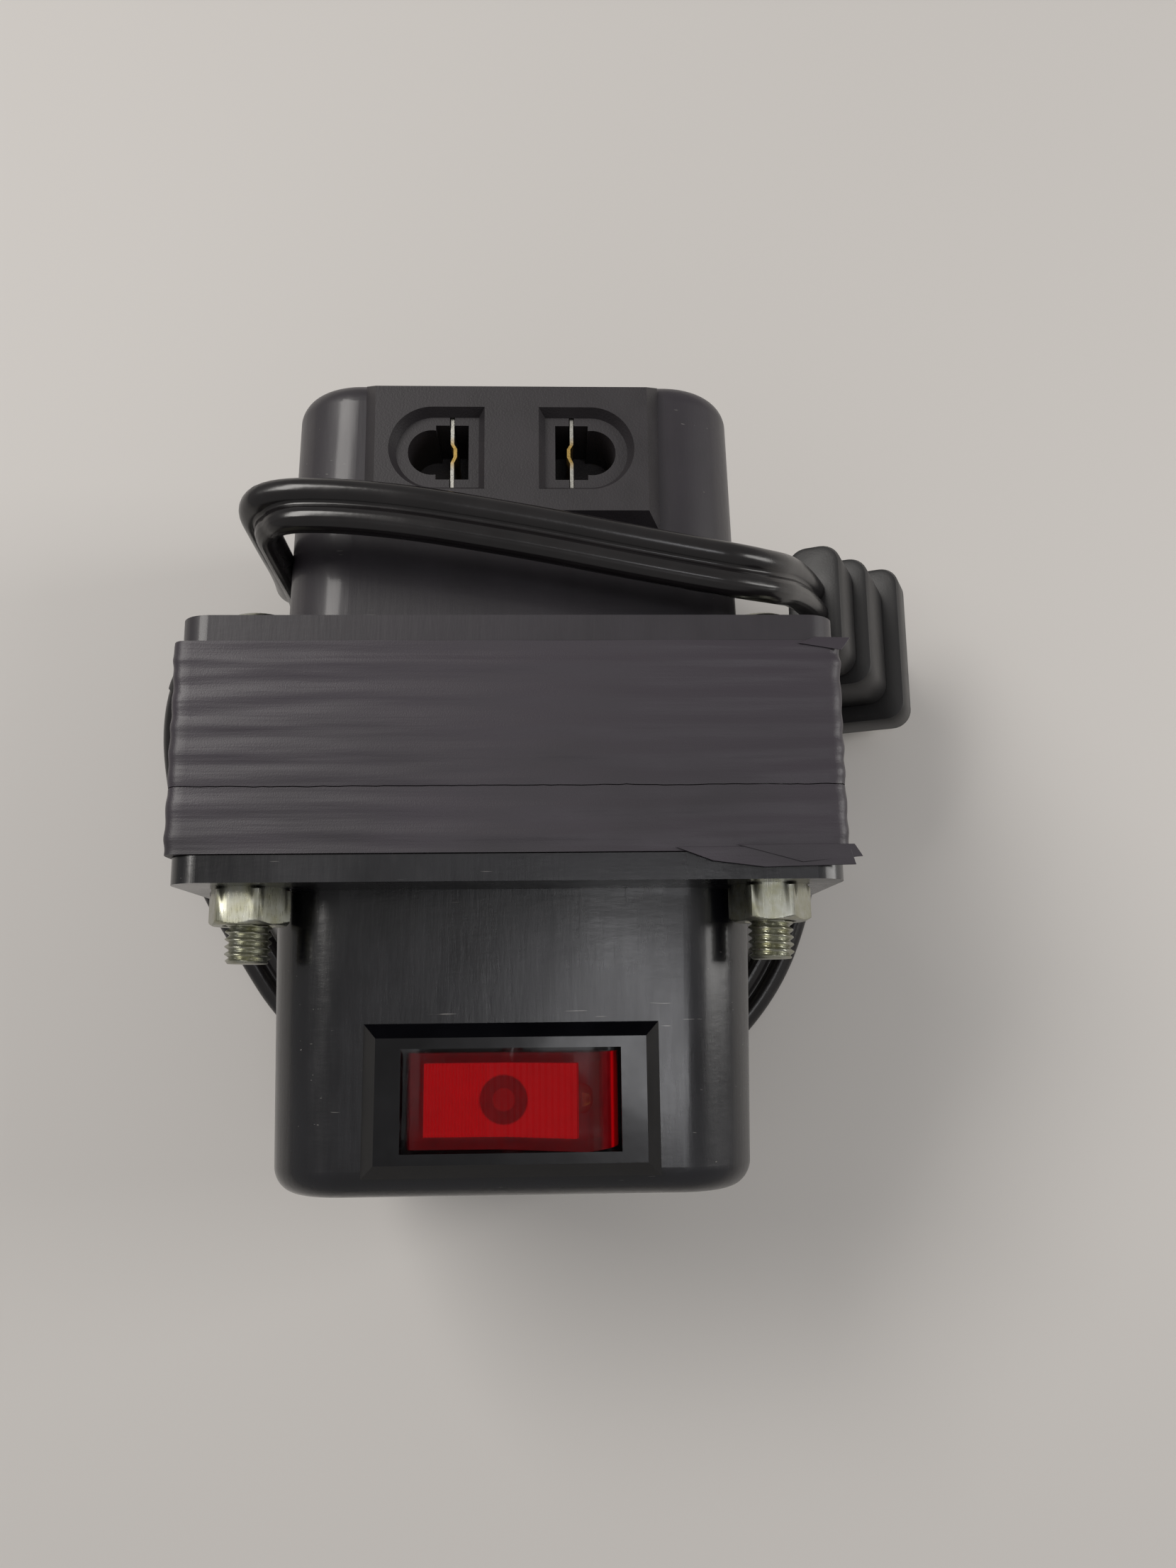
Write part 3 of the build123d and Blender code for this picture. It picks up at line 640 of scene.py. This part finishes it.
class TRANSFORMER_OT_core(bpy.types.Operator):
    """Core sheets, coil and everything inside the bells"""

    bl_idname = "transformer.core"
    bl_label = "Core and coil"

    def execute(self, context):
        sheets = sheets_finish()
        dress("core_e_laminations", sheets)
        dress("core_i_laminations", sheets)
        dress("coil_bobbin", plastic_finish(
            "bobbin nylon", srgb(226, 220, 204), srgb(236, 232, 218), 0.45, 0.3, 0.01))
        dress("common_winding", winding_finish(
            "thick winding", srgb(120, 52, 22), srgb(206, 112, 60), 0.75))
        dress("series_winding", winding_finish(
            "thin winding", srgb(116, 46, 20), srgb(196, 100, 52), 0.5))
        dress("interwinding_paper", plastic_finish(
            "layer paper", srgb(198, 176, 128), srgb(214, 196, 150), 0.8, 0.2, 0.03))
        dress("coil_outer_tape", plastic_finish(
            "coil tape", srgb(214, 168, 44), srgb(226, 184, 66), 0.35, 1.0, 0.03))
        dress("thermal_fuse", metal_finish(
            "fuse case", srgb(206, 206, 204), srgb(190, 190, 186), 0.3))
        for node, colour in (("feed_wire", (26, 26, 28)), ("return_wire", (30, 30, 30)),
                             ("load_wire", (176, 24, 20)), ("tap_wire", (224, 222, 214))):
            light = [min(255, c + 14) for c in colour]
            dress(node, plastic_finish(
                node.replace("_", " "), srgb(*colour), srgb(*light), 0.35, 0.5, 0.01))
        return {"FINISHED"}


class TRANSFORMER_OT_tape(bpy.types.Operator):
    """The two strips of tape round the core"""

    bl_idname = "transformer.tape"
    bl_label = "Core tape"

    WALL = 1.2                        # the strips' thickness as closed bands
    FINE_RAG, BROAD_RAG = 0.07, 0.10  # how far the seam's edge strays
    EDGE_DIP = 0.10                   # how far the seam's edge turns down
    UNDER = 0.02                      # the top's clearance under the frame's own

    def execute(self, context):
        colours = context.scene.colours
        # the second colour is the painted shade of the tape's front
        material = tape_finish(colours.tape, colours.tape_front_painted_shade)
        low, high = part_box("rear_core_tape")
        front_low, front_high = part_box("front_core_tape")
        self.strip("rear_tape", low, high, material, seam_at_low=True)
        self.strip("front_tape", front_low, front_high, material, seam_at_low=False)
        self.loose_ends(material)
        return {"FINISHED"}

    def strip(self, name, low, high, material, seam_at_low):
        """A closed band; its seam edge is ragged and its top ripples along X."""
        low, high = low / MM, high / MM
        width, height = high.x - low.x, high.z - low.z
        middle = (low.z + high.z) / 2
        rows = 70 if seam_at_low else 34
        rings = []
        for row in range(rows + 1):
            share = row / rows
            ring = []
            for x, z in self.around(width, height):
                y = low.y + share * (high.y - low.y)
                ragged = self.FINE_RAG * noise.noise(Vector((x * 2.2, 4, z * 2.2)))
                ragged += self.BROAD_RAG * noise.noise(Vector((x * 0.35, 9, z * 0.35)))
                nearness = (1 - share if seam_at_low else share) ** 6
                y += ragged * nearness
                on_top_or_foot = abs(z) > height / 2 - 2
                sink = self.ripple(x, y, z) * (1.0 if on_top_or_foot else 0.3)
                edge = self.EDGE_DIP * max(0.0, nearness - 0.4)
                scale = 1 - (sink + edge + self.UNDER) / (height / 2)
                ring.append((x * (1 - (sink + edge) / (width / 2)), y, middle + z * scale))
            rings.append(ring)
        bore = self.around(width - 2 * self.WALL, height - 2 * self.WALL)
        inner = [[(x, rings[end][i][1], middle + z) for i, (x, z) in enumerate(bore)]
                 for end in (-1, 0)]
        points, faces = join_rings(rings + inner + [rings[0]], closed_ends=False)
        made = piece(name, points, faces, material)
        made.data.set_sharp_from_angle(angle=radians(50))
        settle(made, "transformer", "core_tape", name.replace("tape", "core_tape"))

    def loose_ends(self, material):
        """Layers of tape that run past the flange's lip, and the corners that stick out."""
        top, end, thick = 61.64, 36.5, 0.14
        sheets = (
            [(17.5, -11.2), (end - 0.4, -11.2), (end + 0.2, -13.2), (27.0, -13.4), (21.5, -12.7)],
            [(24.0, -11.0), (end + 0.1, -11.0), (end + 1.0, -12.3), (31.0, -12.9)],
            [(end - 5.0, 11.2), (end - 0.2, 10.4), (end + 0.9, 11.9), (end - 3.0, 11.9)],
        )
        points, faces = [], []
        for layer, outline in enumerate(sheets):
            for lift in (0.0, thick):
                droop = [0.25 * max(0.0, x - end) for x, _ in outline]
                height = top - 0.05 + 0.1 * layer % 0.2 + lift
                points += [(x, y, height - down) for (x, y), down in zip(outline, droop)]
            count = len(outline)
            first = len(points) - 2 * count
            faces.append(tuple(first + i for i in reversed(range(count))))
            faces.append(tuple(first + count + i for i in range(count)))
            for i in range(count):
                j = (i + 1) % count
                faces.append((first + i, first + j, first + count + j, first + count + i))
        made = piece("tape_ends", points, faces, material, smooth=False)
        settle(bevelled(made, 0.06, 2), "transformer", "core_tape")

    def around(self, width, height):
        """Points round the band, close together along its top."""
        corner = 1.4
        points = []
        outline = rounded(width, height, corner, 4)
        for here, after in zip(outline, outline[1:] + outline[:1]):
            span = max(abs(after[0] - here[0]), abs(after[1] - here[1]))
            count = max(1, int(span / 0.8))
            for i in range(count):
                t = i / count
                points.append((here[0] + (after[0] - here[0]) * t,
                               here[1] + (after[1] - here[1]) * t))
        return points

    def ripple(self, x, y, z):
        """How far the tape sinks at a place: wavering ridges along X, one proud near the rear."""
        waver = 0.7 * noise.noise(Vector((x * 0.05, y * 0.1, z * 0.05)))
        drift = 1.2 * noise.noise(Vector((x * 0.04, y * 0.3, 3)))
        ridges = 0.5 + 0.5 * sin((y + waver) * 2.1 + drift)
        proud = 0.16 * exp(-((y - 9.4 - 0.4 * waver) / 0.6) ** 2)
        crumple = 0.05 * noise.noise(Vector((x * 0.12, y * 0.9, z * 0.12)))
        return 0.07 + 0.09 * ridges - proud + crumple


class TRANSFORMER_OT_bells(bpy.types.Operator):
    """Enamelled steel bells; the rear bell's enamel is painted lighter than the front's, as painted
    light.
    """

    bl_idname = "transformer.bells"
    bl_label = "Bells"

    def execute(self, context):
        front, rear = context.scene.colours.front_bell, context.scene.colours.rear_bell
        dress("front_bell", enamel_finish("front enamel", front, paler(front, 2.0), 0.2, 0.36))
        # painted light: the rear bell gets a lighter enamel colour than the front bell
        dress("rear_bell", enamel_finish("rear enamel painted lighter", rear, paler(rear), 0.42, 0.52))
        return {"FINISHED"}


class TRANSFORMER_OT_fasteners(bpy.types.Operator):
    """Clamp bolts with real threads, and their nuts"""

    bl_idname = "transformer.fasteners"
    bl_label = "Bolts and nuts"

    def execute(self, context):
        sizes, colours = in_mm(context.scene.body_sizes), context.scene.colours
        plate = colours.zinc
        warm = (plate[0] * 0.78, plate[1] * 0.76, plate[2] * 0.6, 1.0)
        zinc = metal_finish("yellow-clear zinc", plate, warm)
        nut = at_the_corners(self.nut(sizes, zinc), sizes, 0.0, zinc)
        settle(nut, "transformer", "zinc", "clamp_nuts")
        low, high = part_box("clamp_bolts")
        start, head_end = low.y / MM, high.y / MM
        bolt = self.bolt(sizes, start, head_end, zinc)
        at_the_corners(bolt, sizes, 0.0, zinc)
        settle(bolt, "transformer", "zinc", "clamp_bolts")
        return {"FINISHED"}

    def nut(self, sizes, material):
        """A hexagon nut with chamfered corners, turned a little from upright."""
        outer, inner = -sizes.face_y - sizes.nut_t, -sizes.face_y
        flat, corner, turns, turn = 4.0, 4.62, 72, radians(6)
        bore = sizes.thread_d / 2

        def ring(y, limit):
            """The hexagon at y, cut back to a circle of the given radius."""
            points = []
            for i in range(turns):
                angle = i / turns * tau
                r = min(limit, flat / cos((angle - turn) % (pi / 3) - pi / 6))
                points.append((r * cos(angle), y, r * sin(angle)))
            return points

        rings = [ring(outer + 0.35, bore), ring(outer, bore + 0.35)]
        for step in range(7):
            depth = step * 0.07
            rings.append(ring(outer + depth, flat - 0.1 + depth * 1.7))
        rings += [ring(inner - 0.25, corner + 0.1), ring(inner, flat + 0.2), ring(inner, bore)]
        made = piece("nuts", *join_rings(rings + rings[:1], closed_ends=False), material)
        made.data.set_sharp_from_angle(angle=radians(28))
        return made

    def bolt(self, sizes, start, head_end, material):
        """One bolt along Y: threaded end, plain shank and domed head."""
        turns = 36
        radius = sizes.thread_d / 2
        depth = 0.55 * sizes.thread_pitch
        threaded = start + sizes.stud_out + 0.4
        per_turn = 8
        count = int((threaded - start) * per_turn / sizes.thread_pitch)
        rows = [start + i * sizes.thread_pitch / per_turn for i in range(count)]
        rings = []
        for row in rows:
            ring = []
            for i in range(turns):
                angle = i / turns * tau
                phase = (row / sizes.thread_pitch - angle / tau) % 1
                crest = abs(2 * phase - 1)
                into = min(1.0, 0.45 + (row - start) / 0.8)
                r = radius - depth * min(1.0, max(0.0, crest * 1.35 - 0.2))
                r = min(r, radius - 0.7 * (1 - into))
                ring.append((r * cos(angle), row, r * sin(angle)))
            rings.append(ring)
        head, head_r, rim = sizes.face_y, 4.3, 0.7
        profile = [(radius, threaded + 0.3), (radius, head), (head_r, head), (head_r, head + rim)]
        rise = head_end - head - rim
        profile += [(head_r * cos(a), head + rim + rise * sin(a))
                    for a in (0.35, 0.7, 1.05, 1.3, 1.48)]
        for r, y in profile:
            rings.append([(r * cos(i / turns * tau), y, r * sin(i / turns * tau))
                          for i in range(turns)])
        made = piece("bolts", *join_rings(rings), material)
        made.data.set_sharp_from_angle(angle=radians(50))
        return made


class TRANSFORMER_OT_switch(bpy.types.Operator):
    """Rocker switch: bezel, clear cap, ribbed diffuser and works"""

    bl_idname = "transformer.switch"
    bl_label = "Rocker switch"

    def execute(self, context):
        colours = context.scene.colours
        dress("switch_housing", plastic_finish(
            "bezel black", colours.bezel, paler(colours.bezel), 0.16, 2.0, 0.02,
            Coat_Weight=0.2, Coat_Roughness=0.06, Specular_IOR_Level=0.3))
        dress("switch_rocker", rocker_finish(colours.cap, colours.diffuser))
        brass = metal_finish("contact brass", srgb(206, 168, 92), srgb(188, 146, 74), 0.3)
        for node in ("contact_see_saw", "load_terminal", "feed_terminal", "lamp_terminal"):
            dress(node, brass)
        dress("switch_plunger", plastic_finish(
            "plunger nylon", srgb(224, 222, 212), srgb(232, 230, 222), 0.4, 0.4, 0.01))
        dress("plunger_spring", metal_finish(
            "spring steel", srgb(190, 190, 190), srgb(176, 176, 180), 0.25))
        lamp = Finish("lamp glass", Transmission_Weight=0.9, IOR=1.5)
        lamp.colour(lamp.mix(lamp.noise(1.0), srgb(252, 226, 206), srgb(255, 238, 224)))
        lamp.roughness(lamp.between(lamp.noise(0.8), 0.3, 0.7, 0.03, 0.1))
        dress("neon_lamp", lamp.material)
        self.diffuser(colours)
        return {"FINISHED"}

    def diffuser(self, colours):
        """A shallow V of ribs under the cap, with the post below it, leaning with the rocker."""
        pivot = Vector((0, -37.4, 49.9))
        lean, rise = radians(-12), radians(10)
        top, half, thick, depth = 3.95, 8.5, 1.3, 7.7

        def set_down(x, z):
            return (pivot.x + x * cos(lean) + z * sin(lean),
                    pivot.z - x * sin(lean) + z * cos(lean))

        outline = []
        pitch, deep = 0.72, 0.2
        x, low_points, i = -half, [], 0
        while x <= half:
            groove = deep if i % 2 else 0.0
            outline.append((x, top - 0.02 - groove + abs(x) * sin(rise) / cos(rise)))
            x, i = x + (pitch / 4 if x < -2 else pitch / 2), i + 1
        for x in (outline[-1][0], 0.0, outline[0][0]):
            low_points.append((x, top - thick + abs(x) * sin(rise) / cos(rise)))
        outline += low_points
        flat = [set_down(x, z) for x, z in outline]
        rings = [[(x, y, z) for x, z in flat] for y in (pivot.y - depth / 2, pivot.y + depth / 2)]
        points, faces = join_rings(rings)
        post_r, bore_r, seen_bore, turns = 2.6, 1.6, 1.2, 32
        post_top, post_low = top - thick + 0.05, -2.2
        shape = ((post_r, post_top), (post_r, post_low),
                 (bore_r, post_low), (bore_r, post_top - 0.5))
        post = []
        for r, z in shape:
            ring = []
            for i in range(turns):
                angle = i / turns * tau
                x, height = set_down(r * cos(angle), z)
                ring.append((x, pivot.y + r * sin(angle), height))
            post.append(ring)
        more, more_faces = join_rings(post)
        faces += [tuple(len(points) + i for i in face) for face in more_faces]
        x, _ = set_down(0, top)
        made = piece("ribbed_diffuser", points + more, faces,
                     diffuser_glow_and_post_shade_finish(colours.diffuser, (x, pivot.y), post_r, seen_bore),
                     smooth=False)
        settle(made, "rocker", "diffuser_red", "rocker_diffuser")


class TRANSFORMER_OT_outlet(bpy.types.Operator):
    """Outlet body and its contact leaves"""

    bl_idname = "transformer.outlet"
    bl_label = "Outlet"

    def execute(self, context):
        body = context.scene.colours.outlet
        dress("outlet_body", plastic_finish(
            "outlet moulding", body, paler(body, 1.4), 0.5, 0.22, 0.05))
        leaf = leaf_finish()
        dress("left_outlet_contact", leaf)
        dress("right_outlet_contact", leaf)
        return {"FINISHED"}


class TRANSFORMER_OT_lead(bpy.types.Operator):
    """Flat twin lead, its strain relief, and the moulded plug"""

    bl_idname = "transformer.lead"
    bl_label = "Lead and plug"

    def execute(self, context):
        sizes, colours = in_mm(context.scene.lead_sizes), context.scene.colours
        vinyl = plastic_finish("lead vinyl", colours.lead, paler(colours.lead), 0.2, 0.8, 0.02)
        moulded = plastic_finish("plug vinyl", colours.plug, paler(colours.plug), 0.42, 0.25, 0.02)
        line = line_of(LEAD_ROUTE)
        steps = frames_along(line)
        lead = self.flat_twin(sizes, steps, vinyl)
        relief = self.strain_relief(steps, moulded)
        plug = self.plug(moulded)
        dress("plug_blades", metal_finish(
            "blade nickel", srgb(210, 206, 192), srgb(200, 194, 176), 0.28))
        return {"FINISHED"}

    def section(self, sizes):
        """Outline of two round cores with a valley between; one has fine ribs along it."""
        radius = sizes.height / 2
        offset = sizes.width / 2 - radius
        sweep, steps = radians(296), 36
        outline = []
        for side, ribbed in ((1, 0.0), (-1, 0.04)):
            for i in range(steps + 1):
                angle = -sweep / 2 + i / steps * sweep
                r = radius + ribbed * cos(angle * sizes.ribs * 2) - ribbed
                outline.append((side * (offset + r * cos(angle)), side * r * sin(angle)))
        return outline

    def flat_twin(self, sizes, steps, material):
        outline = self.section(sizes)
        rings = [[point + side * u + up * v for u, v in outline] for point, _, side, up in steps]
        made = piece("flat_lead", *join_rings(rings), material)
        return settle(made, "transformer", "pvc_black", "mains_lead")

    def strain_relief(self, steps, material):
        """Rim against the bell, then a ringed taper that runs on over the lead's first bend."""
        rim = ((3.6, 3.7), (2.0, 3.7), (1.9, 4.6), (-0.6, 4.6), (-0.6, 5.6),
               (-0.8, 5.8), (-1.9, 5.8), (-2.1, 5.6), (-2.1, 4.8))
        sleeve_start, sleeve_len, sleeve_r, sleeve_taper = 2.3, 8.3, 4.7, 0.9
        ribs, groove_deep, over_lead = 12, 0.35, 11.5
        _, y, z = GROMMET
        rings = [self.round_ring(Vector((BELL_WALL_X + x, y, z)), r, r) for x, r in rim]
        share = 0.0
        while share < 1.0:
            r = sleeve_r - sleeve_taper * share
            groove = groove_deep if int(share * ribs) % 2 else 0.0
            centre = Vector((BELL_WALL_X - sleeve_start - share * sleeve_len, y, z))
            rings.append(self.round_ring(centre, r - groove, r * (1 - 0.25 * share) - groove))
            share += 1 / (2 * ribs)
        run = 0.0
        for before, (point, _, side, up) in zip(steps, steps[1:]):
            run += (point - before[0]).length
            if run > over_lead:
                break
            taper = 1 - run / over_lead
            rings.append(self.oval_ring(point, side, up, 3.45 + 0.35 * taper, 1.9 + 0.7 * taper))
        made = piece("strain_relief", *join_rings(rings), material)
        made.data.set_sharp_from_angle(angle=radians(50))
        return settle(made, "transformer", "pvc_black", "lead_grommet")

    def round_ring(self, centre, wide, high):
        return self.oval_ring(centre, Vector((0, 1, 0)), Vector((0, 0, 1)), wide, high)

    def oval_ring(self, centre, side, up, wide, high, turns=36):
        return [centre + side * wide * cos(i / turns * tau) + up * high * sin(i / turns * tau)
                for i in range(turns)]

    def plug(self, material):
        """Three tiers of the moulded plug, with soft edges."""
        across = Vector((0, 1, 0))
        out = PLUG_AXIS.cross(across)
        tiers = ((0.0, 9.0, 15.6, 7.0), (9.0, 21.0, 17.8, 10.8), (21.0, 27.5, 22.6, 15.4))
        rings = []
        for start, end, wide, thick in tiers:
            soft = 0.8
            for along, less in ((start, soft), (start + 0.25 * soft, 0.3 * soft), (start + soft, 0.0),
                                (end - soft, 0.0), (end - 0.25 * soft, 0.3 * soft), (end, soft)):
                outline = rounded(wide - 2 * less, thick - 2 * less, 2.6 - less * 0.5, 8)
                centre = PLUG_TOP + PLUG_AXIS * along
                rings.append([centre + across * u + out * v for u, v in outline])
        made = piece("moulded_plug", *join_rings(rings), material)
        made.data.set_sharp_from_angle(angle=radians(40))
        return settle(made, "transformer", "pvc_black", "plug_body")


class TRANSFORMER_PT_panel(bpy.types.Panel):
    """The pieces, in the order they are made"""

    bl_idname = "TRANSFORMER_PT_panel"
    bl_label = "Autotransformer"
    bl_space_type = "VIEW_3D"
    bl_region_type = "UI"
    bl_category = "Transformer"

    def draw(self, context):
        for name, _ in GROUPS:
            group = getattr(context.scene, name)
            for key in group.__annotations__:
                self.layout.prop(group, key)
        for step in STEPS:
            self.layout.operator(step.bl_idname)


STEPS = (
    TRANSFORMER_OT_stage,
    TRANSFORMER_OT_lead,
    TRANSFORMER_OT_core,
    TRANSFORMER_OT_tape,
    TRANSFORMER_OT_bells,
    TRANSFORMER_OT_fasteners,
    TRANSFORMER_OT_switch,
    TRANSFORMER_OT_outlet,
)
GROUPS = (("lead_sizes", LeadSizes), ("body_sizes", BodySizes), ("colours", Colours))


def register():
    for name, group in GROUPS:
        bpy.utils.register_class(group)
        setattr(bpy.types.Scene, name, bpy.props.PointerProperty(type=group))
    for step in STEPS:
        bpy.utils.register_class(step)
    bpy.utils.register_class(TRANSFORMER_PT_panel)


def unregister():
    bpy.utils.unregister_class(TRANSFORMER_PT_panel)
    for step in reversed(STEPS):
        bpy.utils.unregister_class(step)
    for name, group in reversed(GROUPS):
        delattr(bpy.types.Scene, name)
        bpy.utils.unregister_class(group)


def main():
    register()
    for step in STEPS:
        family, name = step.bl_idname.split(".")
        getattr(getattr(bpy.ops, family), name)()


if __name__ == "__main__":
    main()
